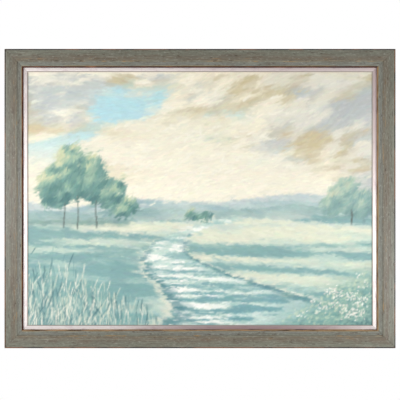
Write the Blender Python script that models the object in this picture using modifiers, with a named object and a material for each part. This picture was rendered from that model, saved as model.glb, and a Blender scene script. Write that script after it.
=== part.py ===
"""Framed painting: a stretched canvas in a narrow silvered liner and a mitred wooden frame.

Metres, +Z up. X runs along the picture's width, -Y is the side that is looked at and +Y
is the wall. The origin is in the middle of the top rail's back face, where it hangs.

Each piece is made as if it lay on the top side and is then turned onto its own side. Its
shape is given by its place along that side, its inset from the frame's outer edge and its
height, counted from the frame's back face towards the front.
"""

import math

import bmesh
import bpy
from mathutils import Matrix, Vector

# The stretched canvas
CANVAS_WIDTH = 1.017
CANVAS_HEIGHT = 0.751
CANVAS_THICKNESS = 0.0008
CANVAS_TURNOVER = 0.022
BAR_WIDTH = 0.038
BAR_THICKNESS = 0.017
BAR_BEAD = 0.004
BAR_BEVEL = 0.003
BAR_EDGE_RADIUS = 0.002

# The liner round the canvas, from under the frame's lip to the picture's sight edge
LINER_COVER = 0.0075
LINER_FACE = 0.012
LINER_THICKNESS = 0.0062
LINER_BAND = 0.005
LINER_STEP = 0.001
LINER_STEP_SLOPE = 0.0006
LINER_SIGHT_EDGE = 0.0025
LINER_NOSE_RADIUS = 0.0008
LINER_NOSE_START_DEG = 72.0

# The frame's moulding, from its outer side to its lip
MOULDING_WIDTH = 0.054
REBATE_WIDTH = 0.008
LIP_EDGE = 0.003
NOSE_RADIUS = 0.0035
COVE_WIDTH = 0.014
COVE_DEPTH = 0.0055
COVE_START_DEG = 16.0
FACE_FALL = 0.003
FACE_CROWN = 0.0007
OUTER_RADIUS = 0.003
RIDGE_RADIUS = 0.0009

# The framer's points that hold the canvas and the liner in the frame. Their places are shares of
# each side's length, from its middle
POINT_SHARES = {"top": (-0.32, 0.0, 0.32), "right": (-0.21, 0.21), "bottom": (-0.32, 0.0, 0.32), "left": (-0.21, 0.21)}
POINT_WIDTH = 0.009
POINT_TIP_WIDTH = 0.005
POINT_THICKNESS = 0.0007
POINT_DRIVEN = 0.008
POINT_GRIP = 0.008
POINT_CORNER_RADIUS = 0.003

# The keyhole plates let into the top rail's back, each at this share of its length from the middle
HANGER_SHARE = 0.32
HANGER_LENGTH = 0.05
HANGER_WIDTH = 0.02
HANGER_THICKNESS = 0.0016
HANGER_CORNER_RADIUS = 0.006
HANGER_SCREW_OFFSET = 0.019
KEYHOLE_RADIUS = 0.0042
KEYHOLE_DROP = 0.0035
KEYHOLE_SLOT_WIDTH = 0.0044
KEYHOLE_SLOT_RISE = 0.0055
HOOK_ROOM_WIDTH = 0.012
HOOK_ROOM_LENGTH = 0.017
HOOK_ROOM_DEPTH = 0.006

# The countersunk wood screws
SCREW_LENGTH = 0.014
SCREW_RADIUS = 0.0015
SCREW_POINT = 0.004
SCREW_HEAD_RADIUS = 0.0032
SCREW_HEAD_DEPTH = 0.0014
SCREW_SLOT_WIDTH = 0.0008
SCREW_SLOT_DEPTH = 0.0007

# How the pieces sit in each other
BACK_RECESS = 0.005
FIT_CLEARANCE = 0.0005
TOUCH_GAP = 0.0003
JOINT_GAP = 0.0003

# How finely round edges are faceted, how near points are the same, and how far a cutter runs past a face
CURVE_STEPS = 8
EDGE_STEPS = 4
ROUND_STEPS = 20
MERGE = 0.00001
OVERRUN = 0.002

# Heights above the frame's back face
PACK_THICKNESS = BAR_THICKNESS + 2 * (CANVAS_THICKNESS + TOUCH_GAP)
CANVAS_FRONT = BACK_RECESS + PACK_THICKNESS
LINER_LEDGE = CANVAS_FRONT + TOUCH_GAP
LINER_FRONT = LINER_LEDGE + LINER_THICKNESS
FRAME_LEDGE = LINER_FRONT + TOUCH_GAP
LIP_TOP = FRAME_LEDGE + LIP_EDGE
RIDGE_TOP = LIP_TOP + NOSE_RADIUS + COVE_DEPTH

# Outer sizes of each ring of rails
SIGHT_WIDTH = CANVAS_WIDTH - 2 * LINER_COVER
SIGHT_HEIGHT = CANVAS_HEIGHT - 2 * LINER_COVER
LINER_TUCK = REBATE_WIDTH - FIT_CLEARANCE
LINER_RUN = LINER_FACE + LINER_TUCK
LINER_OUTER = (SIGHT_WIDTH + 2 * LINER_RUN, SIGHT_HEIGHT + 2 * LINER_RUN)
FRAME_BORDER = LINER_FACE + MOULDING_WIDTH
FRAME_OUTER = (SIGHT_WIDTH + 2 * FRAME_BORDER, SIGHT_HEIGHT + 2 * FRAME_BORDER)
WRAP = CANVAS_THICKNESS + TOUCH_GAP
BARS_OUTER = (CANVAS_WIDTH - 2 * WRAP, CANVAS_HEIGHT - 2 * WRAP)

# The rail's back face runs from its outer side to the rebate, and the origin is in its middle
FRAME_BACK_WIDTH = MOULDING_WIDTH - REBATE_WIDTH
PICTURE_CENTRE_Z = FRAME_BACK_WIDTH / 2 - FRAME_OUTER[1] / 2
CANVAS_INSET = FRAME_BORDER - LINER_COVER

# Degrees that each side is turned from the top
SIDE_TURNS = {"top": 0.0, "right": 90.0, "bottom": 180.0, "left": 270.0}
HANDS = {"left": -1.0, "right": 1.0}

# Colour, roughness and metallic value of each material
LOOKS = {
    "weathered_wood": ((0.235, 0.225, 0.19), 0.68, 0.0),
    "silver_leaf": ((0.83, 0.79, 0.79), 0.34, 0.85),
    "painted_canvas": ((0.62, 0.68, 0.62), 0.55, 0.0),
    "raw_pine": ((0.62, 0.45, 0.27), 0.7, 0.0),
    "zinc_steel": ((0.55, 0.55, 0.54), 0.42, 1.0),
}

PARTS = "framed_painting"
CUTTERS = "cutters"
CENTRE = "picture_centre"


def clear_scene():
    """Removes every object, and makes the collections and the empty that the pieces hang on."""
    for obj in list(bpy.data.objects):
        bpy.data.objects.remove(obj)
    for name in (PARTS, CUTTERS):
        bpy.context.scene.collection.children.link(bpy.data.collections.new(name))
    centre = bpy.data.objects.new(CENTRE, None)
    centre.location = (0.0, 0.0, PICTURE_CENTRE_Z)
    bpy.data.collections[PARTS].objects.link(centre)


def material(name):
    """The Principled material of this name."""
    if name in bpy.data.materials:
        return bpy.data.materials[name]
    colour, roughness, metallic = LOOKS[name]
    made = bpy.data.materials.new(name)
    made.use_nodes = True
    shader = made.node_tree.nodes["Principled BSDF"]
    shader.inputs["Base Color"].default_value = (*colour, 1.0)
    shader.inputs["Roughness"].default_value = roughness
    shader.inputs["Metallic"].default_value = metallic
    return made


def piece(name, bm, look):
    """A new object of the part that holds the finished mesh."""
    mesh = bpy.data.meshes.new(name)
    bm.to_mesh(mesh)
    bm.free()
    mesh.materials.append(material(look))
    made = bpy.data.objects.new(name, mesh)
    bpy.data.collections[PARTS].objects.link(made)
    return made


def cutter(name, bm):
    """A new object that only takes its shape out of others."""
    mesh = bpy.data.meshes.new(name)
    bm.to_mesh(mesh)
    bm.free()
    made = bpy.data.objects.new(name, mesh)
    made.hide_render = True
    made.display_type = "WIRE"
    bpy.data.collections[CUTTERS].objects.link(made)
    return made


def cut(obj, tool):
    """Takes the tool's shape out of the object."""
    hole = obj.modifiers.new(tool.name, "BOOLEAN")
    hole.operation = "DIFFERENCE"
    hole.solver = "EXACT"
    hole.object = tool


def thicken(obj, thickness, offset):
    """Gives an open sheet its thickness: offset 1 adds it outside, and -1 inside."""
    shell = obj.modifiers.new("sheet thickness", "SOLIDIFY")
    shell.thickness = thickness
    shell.offset = offset
    shell.use_even_offset = True


def put_on_side(obj, side, outer, along=0.0, height=0.0, inset=0.0):
    """Turns a piece that was made for the top onto its side of a ring of this outer size."""
    across = outer[0] if side in ("left", "right") else outer[1]
    obj.rotation_euler = (0.0, math.radians(SIDE_TURNS[side]), 0.0)
    obj.location = obj.rotation_euler.to_matrix() @ Vector((along, -height, across / 2 - inset))
    obj.parent = bpy.data.objects[CENTRE]


def curve_points(centre, radii, start_deg, end_deg, steps):
    """Points along part of an ellipse, each as (inset, height)."""
    angles = [math.radians(start_deg + (end_deg - start_deg) * i / steps) for i in range(steps + 1)]
    return [(centre[0] + radii[0] * math.cos(a), centre[1] + radii[1] * math.sin(a)) for a in angles]


def crowned(start, end, crown, steps):
    """Points between start and end, raised by crown in the middle and without the two ends."""
    shares = [i / steps for i in range(1, steps)]
    return [
        (
            start[0] + (end[0] - start[0]) * s,
            start[1] + (end[1] - start[1]) * s + crown * math.sin(math.pi * s),
        )
        for s in shares
    ]


def frame_section():
    """The moulding: a crowned face that rises to a ridge, a cove, a rounded lip and a rebate."""
    ridge = MOULDING_WIDTH - NOSE_RADIUS - COVE_WIDTH
    face_start = (OUTER_RADIUS, RIDGE_TOP - FACE_FALL)
    face_end = (ridge - RIDGE_RADIUS, RIDGE_TOP)
    outer_round = curve_points(
        (OUTER_RADIUS, face_start[1] - OUTER_RADIUS), (OUTER_RADIUS, OUTER_RADIUS), 180, 90, EDGE_STEPS
    )
    cove = curve_points(
        (ridge + COVE_WIDTH, RIDGE_TOP), (COVE_WIDTH, COVE_DEPTH), 180 + COVE_START_DEG, 270, CURVE_STEPS
    )
    nose = curve_points(
        (MOULDING_WIDTH - NOSE_RADIUS, LIP_TOP), (NOSE_RADIUS, NOSE_RADIUS), 90, 0, EDGE_STEPS
    )
    return [
        (0.0, 0.0),
        *outer_round,
        *crowned(face_start, face_end, FACE_CROWN, CURVE_STEPS),
        face_end,
        *cove,
        *nose[1:],
        (MOULDING_WIDTH, FRAME_LEDGE),
        (FRAME_BACK_WIDTH, FRAME_LEDGE),
        (FRAME_BACK_WIDTH, 0.0),
    ]


def liner_section():
    """The liner: a flat band, a small step, a bevel down to the sight edge, and a rebate."""
    band_end = LINER_TUCK + LINER_BAND
    sight_nose = curve_points(
        (LINER_RUN - LINER_NOSE_RADIUS, LINER_LEDGE + LINER_SIGHT_EDGE),
        (LINER_NOSE_RADIUS, LINER_NOSE_RADIUS),
        LINER_NOSE_START_DEG,
        0,
        EDGE_STEPS,
    )
    rebate_wall = LINER_RUN - LINER_COVER - FIT_CLEARANCE
    return [
        (0.0, BACK_RECESS),
        (0.0, LINER_FRONT),
        (band_end, LINER_FRONT),
        (band_end + LINER_STEP_SLOPE, LINER_FRONT - LINER_STEP),
        *sight_nose,
        (LINER_RUN, LINER_LEDGE),
        (rebate_wall, LINER_LEDGE),
        (rebate_wall, BACK_RECESS),
    ]


def bar_section():
    """A stretcher bar: a raised bead carries the canvas, and the rest falls away from it."""
    back = BACK_RECESS + WRAP
    front = back + BAR_THICKNESS
    inner_round = curve_points(
        (BAR_WIDTH - BAR_EDGE_RADIUS, back + BAR_EDGE_RADIUS),
        (BAR_EDGE_RADIUS, BAR_EDGE_RADIUS),
        0,
        -90,
        EDGE_STEPS,
    )
    return [
        (0.0, back),
        (0.0, front),
        (BAR_BEAD, front),
        (BAR_WIDTH, front - BAR_BEVEL),
        *inner_round,
    ]


def mitred_rail(name, section, length, look):
    """A rail with this section whose ends are cut at 45 degrees, with its outer side at z = 0."""
    trim = JOINT_GAP / 2 * math.sqrt(2)
    bm = bmesh.new()
    outline = [bm.verts.new((0.0, -height, -inset)) for inset, height in section]
    end_face = bm.faces.new(outline)
    grown = bmesh.ops.extrude_face_region(bm, geom=[end_face])
    far_end = {v for v in grown["geom"] if isinstance(v, bmesh.types.BMVert)}
    for vert in bm.verts:
        reach = length / 2 + vert.co.z - trim
        vert.co.x = reach if vert in far_end else -reach
    bmesh.ops.recalc_face_normals(bm, faces=bm.faces)
    return piece(name, bm, look)


def side_length(side, outer):
    """How long this side is in a ring of this outer size."""
    return outer[1] if side in ("left", "right") else outer[0]


def ring_of_rails(prefix, section, outer, look):
    """Four mitred rails that meet at their corners, by side."""
    rails = {}
    for side in SIDE_TURNS:
        rails[side] = mitred_rail(f"{prefix}_{side}", section, side_length(side, outer), look)
        put_on_side(rails[side], side, outer)
    return rails


def stretched_canvas():
    """The canvas: one sheet over the front of the bars, down their sides and turned over behind."""
    bm = bmesh.new()
    bmesh.ops.create_grid(bm, x_segments=1, y_segments=1, size=0.5)
    for vert in bm.verts:
        vert.co = Vector((vert.co.x * CANVAS_WIDTH, -CANVAS_FRONT, vert.co.y * CANVAS_HEIGHT))
    sides = bmesh.ops.extrude_edge_only(bm, edges=bm.edges[:])["geom"]
    side_verts = [v for v in sides if isinstance(v, bmesh.types.BMVert)]
    bmesh.ops.translate(bm, verts=side_verts, vec=(0.0, PACK_THICKNESS, 0.0))
    rim = [e for e in sides if isinstance(e, bmesh.types.BMEdge) and e.is_boundary]
    for vert in bmesh.ops.extrude_edge_only(bm, edges=rim)["geom"]:
        if isinstance(vert, bmesh.types.BMVert):
            vert.co.x -= math.copysign(CANVAS_TURNOVER, vert.co.x)
            vert.co.z -= math.copysign(CANVAS_TURNOVER, vert.co.z)
    bmesh.ops.recalc_face_normals(bm, faces=bm.faces)
    canvas = piece("painted_canvas", bm, "painted_canvas")
    thicken(canvas, CANVAS_THICKNESS, -1.0)
    canvas.parent = bpy.data.objects[CENTRE]


def framers_point(name):
    """A flat steel tab: its narrow end is driven into the rebate's wall and its round end holds the canvas."""
    start = FRAME_BACK_WIDTH - POINT_DRIVEN
    end = CANVAS_INSET + POINT_GRIP
    angles = [math.pi / 2 * i / EDGE_STEPS for i in range(EDGE_STEPS + 1)]
    straight = POINT_WIDTH / 2 - POINT_CORNER_RADIUS
    stations = [
        (start, POINT_TIP_WIDTH / 2),
        (FRAME_BACK_WIDTH, POINT_WIDTH / 2),
        *(
            (
                end - POINT_CORNER_RADIUS * (1 - math.sin(a)),
                straight + POINT_CORNER_RADIUS * math.cos(a),
            )
            for a in angles
        ),
    ]
    last = len(stations) - 1
    bm = bmesh.new()
    bmesh.ops.create_grid(bm, x_segments=last, y_segments=1, size=0.5)
    for vert in bm.verts:
        inset, half = stations[round((vert.co.x + 0.5) * last)]
        vert.co = Vector((math.copysign(half, vert.co.y), TOUCH_GAP - BACK_RECESS, -inset))
    bm.normal_update()
    if bm.faces[:][0].normal.y < 0.0:
        bmesh.ops.reverse_faces(bm, faces=bm.faces)
    point = piece(name, bm, "zinc_steel")
    thicken(point, POINT_THICKNESS, 1.0)
    return point


def point_slot_tool(name):
    """The cut that a framer's point makes in the rebate's wall."""
    bm = bmesh.new()
    bmesh.ops.create_cube(bm, size=1.0)
    depth = POINT_DRIVEN + TOUCH_GAP + OVERRUN
    size = (POINT_WIDTH + 2 * TOUCH_GAP, POINT_THICKNESS + 2 * TOUCH_GAP, depth)
    middle_height = BACK_RECESS - TOUCH_GAP - POINT_THICKNESS / 2
    middle_inset = FRAME_BACK_WIDTH + OVERRUN - depth / 2
    bmesh.ops.scale(bm, verts=bm.verts, vec=size)
    bmesh.ops.translate(bm, verts=bm.verts, vec=(0.0, -middle_height, -middle_inset))
    return cutter(name, bm)


def rounded_block(size, radius, back):
    """A block whose corners are round as seen from behind. Its back face is at y = back."""
    bm = bmesh.new()
    bmesh.ops.create_cube(bm, size=1.0)
    bmesh.ops.scale(bm, verts=bm.verts, vec=size)
    bmesh.ops.translate(bm, verts=bm.verts, vec=(0.0, back - size[1] / 2, 0.0))
    upright = [e for e in bm.edges if abs(e.verts[0].co.y - e.verts[1].co.y) > size[1] / 2]
    bmesh.ops.bevel(
        bm,
        geom=upright,
        offset=min(radius, 0.49 * size[0], 0.49 * size[2]),
        segments=EDGE_STEPS,
        profile=0.5,
        affect="EDGES",
        material=-1,
    )
    return bm


def keyhole_tools(name):
    """The round hole that a hook's head goes through, and the slot that its neck slides up."""
    depth = HANGER_THICKNESS + 2 * OVERRUN
    hole = bmesh.new()
    bmesh.ops.create_cone(
        hole,
        cap_ends=True,
        segments=ROUND_STEPS,
        radius1=KEYHOLE_RADIUS,
        radius2=KEYHOLE_RADIUS,
        depth=depth,
        matrix=Matrix.Rotation(math.pi / 2, 4, "X"),
    )
    bmesh.ops.translate(hole, verts=hole.verts, vec=(0.0, 0.0, -KEYHOLE_DROP))
    slot_length = KEYHOLE_DROP + KEYHOLE_SLOT_RISE
    slot_size = (KEYHOLE_SLOT_WIDTH, depth, slot_length)
    slot = rounded_block(slot_size, KEYHOLE_SLOT_WIDTH / 2, depth / 2)
    bmesh.ops.translate(slot, verts=slot.verts, vec=(0.0, 0.0, slot_length / 2 - KEYHOLE_DROP))
    return cutter(f"{name}_hole", hole), cutter(f"{name}_slot", slot)


def turned_piece(profile, make, name):
    """An object turned about Y from its profile of (radius, y) points, from the top down its outer side."""
    bm = bmesh.new()
    points = [bm.verts.new((radius, behind, 0.0)) for radius, behind in profile]
    for start, end in zip(points, points[1:]):
        bm.edges.new((start, end))
    made = make(name, bm)
    turned = made.modifiers.new("turned", "SCREW")
    turned.axis = "Y"
    turned.steps = ROUND_STEPS
    turned.render_steps = ROUND_STEPS
    turned.use_merge_vertices = True
    turned.merge_threshold = MERGE
    return made


def screw_solid(name):
    """A countersunk screw along Y, with the top of its head at y = 0."""
    profile = [
        (0.0, 0.0),
        (SCREW_HEAD_RADIUS, 0.0),
        (SCREW_RADIUS, -SCREW_HEAD_DEPTH),
        (SCREW_RADIUS, SCREW_POINT - SCREW_LENGTH),
        (0.0, -SCREW_LENGTH),
    ]
    return turned_piece(profile, lambda named, bm: piece(named, bm, "zinc_steel"), name)


def bore_tool(name):
    """The drill and countersink that make way for a screw."""
    profile = [
        (0.0, OVERRUN),
        (SCREW_HEAD_RADIUS + TOUCH_GAP, OVERRUN),
        (SCREW_HEAD_RADIUS + TOUCH_GAP, 0.0),
        (SCREW_RADIUS + TOUCH_GAP, -SCREW_HEAD_DEPTH),
        (SCREW_RADIUS + TOUCH_GAP, -SCREW_LENGTH - TOUCH_GAP),
        (0.0, -SCREW_LENGTH - TOUCH_GAP),
    ]
    return turned_piece(profile, cutter, name)


def screwdriver_slot_tool(name):
    """The block that cuts the screwdriver slot."""
    bm = bmesh.new()
    bmesh.ops.create_cube(bm, size=1.0)
    size = (3 * SCREW_HEAD_RADIUS, 2 * SCREW_SLOT_DEPTH, SCREW_SLOT_WIDTH)
    bmesh.ops.scale(bm, verts=bm.verts, vec=size)
    return cutter(name, bm)


def keyhole_hanger(hand, rail):
    """A keyhole plate let in flush, the room behind it for a hook's head, and its two screws."""
    along = HANDS[hand] * HANGER_SHARE * side_length("top", FRAME_OUTER)
    middle = FRAME_BACK_WIDTH / 2
    name = f"keyhole_hanger_{hand}"
    pocket_size = (
        HANGER_LENGTH + 2 * FIT_CLEARANCE,
        HANGER_THICKNESS + 2 * TOUCH_GAP + OVERRUN,
        HANGER_WIDTH + 2 * FIT_CLEARANCE,
    )
    room_size = (HOOK_ROOM_WIDTH, pocket_size[1] + HOOK_ROOM_DEPTH, HOOK_ROOM_LENGTH)
    plate_size = (HANGER_LENGTH, HANGER_THICKNESS, HANGER_WIDTH)
    plate = piece(name, rounded_block(plate_size, HANGER_CORNER_RADIUS, 0.0), "zinc_steel")
    pocket_radius = HANGER_CORNER_RADIUS + FIT_CLEARANCE
    back = TOUCH_GAP + OVERRUN
    pocket = cutter(f"{name}_pocket", rounded_block(pocket_size, pocket_radius, back))
    room = cutter(f"{name}_room", rounded_block(room_size, HOOK_ROOM_WIDTH / 2, back))
    keyhole = keyhole_tools(f"{name}_key")
    for obj in (plate, pocket, room, *keyhole):
        put_on_side(obj, "top", FRAME_OUTER, along, TOUCH_GAP, middle)
    cut(rail, pocket)
    cut(rail, room)
    for tool in keyhole:
        cut(plate, tool)
    for place, away in (("outer", HANDS[hand]), ("inner", -HANDS[hand])):
        screw = screw_solid(f"hanger_screw_{hand}_{place}")
        slot = screwdriver_slot_tool(f"{screw.name}_slot")
        bore = bore_tool(f"{screw.name}_bore")
        for obj in (screw, slot, bore):
            put_on_side(obj, "top", FRAME_OUTER, along + away * HANGER_SCREW_OFFSET, TOUCH_GAP, middle)
        cut(screw, slot)
        cut(plate, bore)
        cut(rail, bore)


def hold_canvas(rails):
    """Framer's points round the canvas, each in its own cut in the rebate's wall."""
    for side, shares in POINT_SHARES.items():
        for number, share in enumerate(shares, start=1):
            along = share * side_length(side, FRAME_OUTER)
            point = framers_point(f"framers_point_{side}_{number}")
            slot = point_slot_tool(f"{point.name}_cut")
            for obj in (point, slot):
                put_on_side(obj, side, FRAME_OUTER, along)
            cut(rails[side], slot)


def main():
    clear_scene()
    rails = ring_of_rails("frame_rail", frame_section(), FRAME_OUTER, "weathered_wood")
    ring_of_rails("liner", liner_section(), LINER_OUTER, "silver_leaf")
    ring_of_rails("stretcher_bar", bar_section(), BARS_OUTER, "raw_pine")
    stretched_canvas()
    hold_canvas(rails)
    for hand in HANDS:
        keyhole_hanger(hand, rails["top"])


main()
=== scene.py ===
"""Framed landscape painting: the looks of the canvas, liner, mouldings, bars and steel, and its stage.

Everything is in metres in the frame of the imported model: X along the picture, -Y towards the
viewer, Z up, with the origin in the middle of the top rail's back face.
"""

import math

import bmesh
import bpy
import numpy as np
from bpy.props import FloatProperty, FloatVectorProperty, IntProperty, PointerProperty
from bpy.types import Operator, Panel, PropertyGroup
from mathutils import Matrix, Vector, noise


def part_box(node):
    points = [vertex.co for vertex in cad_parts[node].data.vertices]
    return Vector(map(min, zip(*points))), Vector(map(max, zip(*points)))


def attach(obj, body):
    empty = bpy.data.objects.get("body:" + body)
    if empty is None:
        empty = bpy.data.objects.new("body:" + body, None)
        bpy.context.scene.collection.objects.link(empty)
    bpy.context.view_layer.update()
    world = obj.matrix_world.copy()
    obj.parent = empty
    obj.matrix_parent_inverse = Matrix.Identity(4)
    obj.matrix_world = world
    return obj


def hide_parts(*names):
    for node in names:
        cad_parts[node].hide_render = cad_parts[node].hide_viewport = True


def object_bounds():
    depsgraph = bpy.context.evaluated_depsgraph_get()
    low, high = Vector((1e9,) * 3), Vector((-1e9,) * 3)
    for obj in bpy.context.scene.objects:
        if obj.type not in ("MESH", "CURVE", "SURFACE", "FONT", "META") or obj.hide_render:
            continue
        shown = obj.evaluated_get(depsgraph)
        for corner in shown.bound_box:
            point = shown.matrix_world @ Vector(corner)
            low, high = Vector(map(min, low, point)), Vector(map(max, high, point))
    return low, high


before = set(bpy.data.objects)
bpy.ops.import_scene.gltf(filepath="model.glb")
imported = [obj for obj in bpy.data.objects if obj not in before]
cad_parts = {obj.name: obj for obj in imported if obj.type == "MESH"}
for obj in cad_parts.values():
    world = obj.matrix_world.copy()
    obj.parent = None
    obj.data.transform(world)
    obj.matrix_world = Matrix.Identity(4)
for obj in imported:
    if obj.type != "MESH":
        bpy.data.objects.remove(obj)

bl_info = {
    "name": "Framed landscape painting",
    "version": (1, 0, 0),
    "blender": (4, 5, 0),
    "location": "View3D > Sidebar > Painting",
    "description": "Builds the looks of a framed painting round its packed solids",
    "category": "Object",
}

CAD_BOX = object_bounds()
BODY = "root"
IMAGE_SIDE = 400

# Sides of the frame, those whose rails lie level, and those whose lip gets a tan painted highlight, as the
# lips that face the light
SIDES = ("top", "right", "bottom", "left")
LEVEL = ("top", "bottom")
LIT_LIP_SIDES = ("right", "bottom")

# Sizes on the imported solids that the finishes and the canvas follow. An inset is counted from the outer
# edge of its ring of rails, and a height from the frame's back. The field lies outside the ridge
MOULDING_WIDTH = 0.054
FIELD_INSET = 0.024
RIDGE_INSET = 0.0365
LIP_INSET = 0.0505
LIP_HEIGHT = 0.0309
LINER_SHOWS_FROM = 0.0075
LINER_STEP_INSET = 0.0127
LINER_RUN = 0.0195
LINER_LEAF_HEIGHT = 0.0262
CANVAS_THICKNESS = 0.0008
TURNOVER = 0.022

# How a rail's mesh is made finer: how deep its front goes, the widths between which a strip of it is
# halved, the share of a length that has to lie along the rail, and how near points are merged
FRONT_DEPTH = 0.012
STRIP_WIDTHS = (0.0032, 0.03)
MOSTLY = 0.8
MERGE = 0.00001

# How near the outer side an edge or a face counts as on it, and how near the sight edge. Edges that turn
# by more than the crease are shaded sharp
OUTER_SKIN = 0.00084
PAINTED_SKIN = 0.0006
SIGHT_SKIN = 0.0004
CREASE = math.radians(38)

# How far from the outer edge, the ridge, the lip and a mitre the wear goes
EDGE_WEAR = 0.0045
RIDGE_WEAR = 0.0028
LIP_WEAR = 0.003
MITRE_WEAR = 0.0022

# The stretch of leaf on each liner rail that is darkened to a dusky rose, partly as tarnish and partly as
# painted shade of the leaf's darker reflections: its middle along the side, its reach and how far it has gone
TARNISH_AND_SHADE_STRETCHES = {
    "top": (0.56, 0.68, 0.4),
    "right": (0.38, 0.42, 0.56),
    "bottom": (0.14, 0.39, 0.8),
    "left": (0.42, 0.1, 0.24),
}

# Staples: length, height and width of one, how far apart they are, how far in from the canvas's edge and
# from its corners, and how far they keep from a framer's point
STAPLE = (0.0105, 0.0009, 0.0012)
STAPLE_ROUNDING = 0.0006
STAPLE_SPACING = 0.075
STAPLE_INSET = 0.012
STAPLE_CORNER = 0.035
POINT_CLEAR = (0.009, 0.01)

# The stage: the floor, the directions between which the room's light turns to the backdrop's, the lamps'
# places from the picture's middle and their size, and how far behind the frame's front the picture lies
FLOOR_RADIUS = 2.4
ROOM_TO_BACKDROP = (-0.35, 0.25)
SOFTBOXES = {"left": (-1.3, -1.2, 0.02), "right": (1.3, -1.2, -0.3)}
SOFTBOX_SIZE = (0.7, 0.4)
PICTURE_PLANE = 0.003

# Names of the maps and attributes that the materials read
RAIL_MAP = "along_and_inset"
MITRE = "from_mitre"
WORN = "worn"
TARNISH_AND_SHADE = "tarnish"
PAINT = "paint_colour"
PULL = "brush_pull"
PULLS = (0.0, math.radians(60), math.radians(-60))

# Sockets of a colour Mix node
SHARE, UNDER, OVER, MIXED = 0, 6, 7, 2


def linear(parts):
    """sRGB parts from 0 to 1 as linear light."""
    parts = np.asarray(parts, float)
    return np.where(parts <= 0.04045, parts / 12.92, ((parts + 0.055) / 1.055) ** 2.4)


def shade(code):
    """The sRGB parts of a hex colour, each from 0 to 1."""
    return np.array([int(code[i : i + 2], 16) / 255 for i in (1, 3, 5)])


def tint(code):
    """A hex colour as the linear colour, with its alpha, that a socket takes."""
    return (*(float(part) for part in linear(shade(code))), 1.0)


def toned(colour, share):
    """A linear colour made darker or lighter."""
    return (*(min(1.0, share * part) for part in colour[:3]), 1.0)


def colour_property(name, code, description):
    """A colour that the user may change."""
    return FloatVectorProperty(
        name=name, description=description, subtype="COLOR", size=4, min=0.0, max=1.0, default=tint(code)
    )


def number_property(name, default, description, unit="LENGTH"):
    """A size or another number that the user may change."""
    return FloatProperty(name=name, description=description, default=default, unit=unit)


class MouldingSettings(PropertyGroup):
    """Sizes and colours of the four frame rails."""

    station: number_property("Station spacing", 0.003, "Distance between points along a rail")
    wear: number_property("Wear depth", 0.0005, "How deep the knocks on the edges go")
    paint: colour_property("Paint", "#77796C", "Grey-green milk paint")
    brown: colour_property("Undercoat", "#695D50", "Brown coat that shows through the paint")
    rub: colour_property("Rubbed wood", "#A07C48", "Warm wood where the paint is rubbed off")
    lip: colour_property("Lip", "#45221A", "Red-brown bole on the inner lip")
    edge: colour_property("Outer edge", "#231C16", "Dark wax on the outer edge")


class LinerSettings(PropertyGroup):
    """Sizes and colours of the four liner rails."""

    station: number_property("Station spacing", 0.006, "Distance between points along a rail")
    leaf: colour_property("Leaf", "#F6EFED", "Silver leaf")
    clay: colour_property("Clay", "#C79C9F", "Rose clay under the leaf, where it is rubbed")
    dimple: number_property("Dimples", 0.00012, "How deep the hollows in the leaf go")


class CanvasSettings(PropertyGroup):
    """Sizes and colours of the stretched canvas."""

    columns: IntProperty(name="Columns", description="Cells across the picture", default=340, min=20)
    rows: IntProperty(name="Rows", description="Cells down the picture", default=251, min=20)
    relief: number_property("Paint relief", 0.00032, "Height of a full load of paint")
    seed: IntProperty(name="Seed", description="Another number gives other strokes", default=5)
    cotton: colour_property("Cotton", "#D9CCB0", "Raw cotton duck on the back")
    primer: colour_property("Primer", "#ECE9E0", "White primer on the sides")


class BackSettings(PropertyGroup):
    """Colours of the bare woods and the steel on the back."""

    bare_wood: colour_property("Bare wood", "#A98B66", "Basswood of the moulding's back")
    pine: colour_property("Pine", "#D9B887", "Planed pine of the stretcher bars")
    zinc: colour_property("Zinc", "#B9BBB9", "Zinc plated steel")


class StageSettings(PropertyGroup):
    """The camera, the lights and the floor."""

    lens: number_property("Lens", 110.0, "Focal length", "CAMERA")
    millimetres_per_pixel: number_property(
        "Millimetres per pixel", 2.8975, "Scale of the picture's front in the render", "NONE"
    )
    drop: number_property("Drop", 0.0042, "How far under the picture's middle the camera looks")
    floor_drop: number_property("Floor drop", 1.45, "How far the floor is under the picture's middle")
    backdrop: number_property("Backdrop", 1.0, "Strength of the white behind the picture", "NONE")
    fill: number_property("Fill light", 0.44, "Strength of the room before the picture", "NONE")
    left_power: number_property("Left softbox", 15.9, "Power of the left softbox", "POWER")
    right_power: number_property("Right softbox", 15.9, "Power of the right softbox", "POWER")


class PaintingSettings(PropertyGroup):
    """Everything that can be changed on the framed painting."""

    moulding: PointerProperty(type=MouldingSettings)
    liner: PointerProperty(type=LinerSettings)
    canvas: PointerProperty(type=CanvasSettings)
    back: PointerProperty(type=BackSettings)
    stage: PointerProperty(type=StageSettings)


def feed(tree, node, feeds):
    """Gives a node's sockets values, hex colours or other nodes' outputs."""
    for socket, source in feeds.items():
        if isinstance(source, bpy.types.NodeSocket):
            tree.links.new(source, node.inputs[socket])
        else:
            node.inputs[socket].default_value = tint(source) if isinstance(source, str) else source


def add(tree, kind, feeds=None, stops=(), out=0, **settings):
    """Adds a node, with the stops of its ramp if it has one, and gives back one of its outputs."""
    made = tree.nodes.new(f"ShaderNode{kind}")
    for name, value in settings.items():
        setattr(made, name, value)
    feed(tree, made, feeds or {})
    for number, (place, colour) in enumerate(stops):
        elements = made.color_ramp.elements
        element = elements[number] if number < 1 else elements.new(place)
        element.position = place
        element.color = tint(colour) if isinstance(colour, str) else colour
    if stops:
        made.color_ramp.elements.remove(made.color_ramp.elements[-1])
    return made.outputs[out]


def new_material(name):
    """An empty material of this name, its node tree and its shader."""
    made = bpy.data.materials.new(name)
    made.use_nodes = True
    return made, made.node_tree, made.node_tree.nodes["Principled BSDF"]


def millimetres(along, across, deep=1000.0):
    """The scale of a texture whose cells measure these millimetres."""
    return 1000.0 / along, 1000.0 / across, 1000.0 / deep


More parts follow.
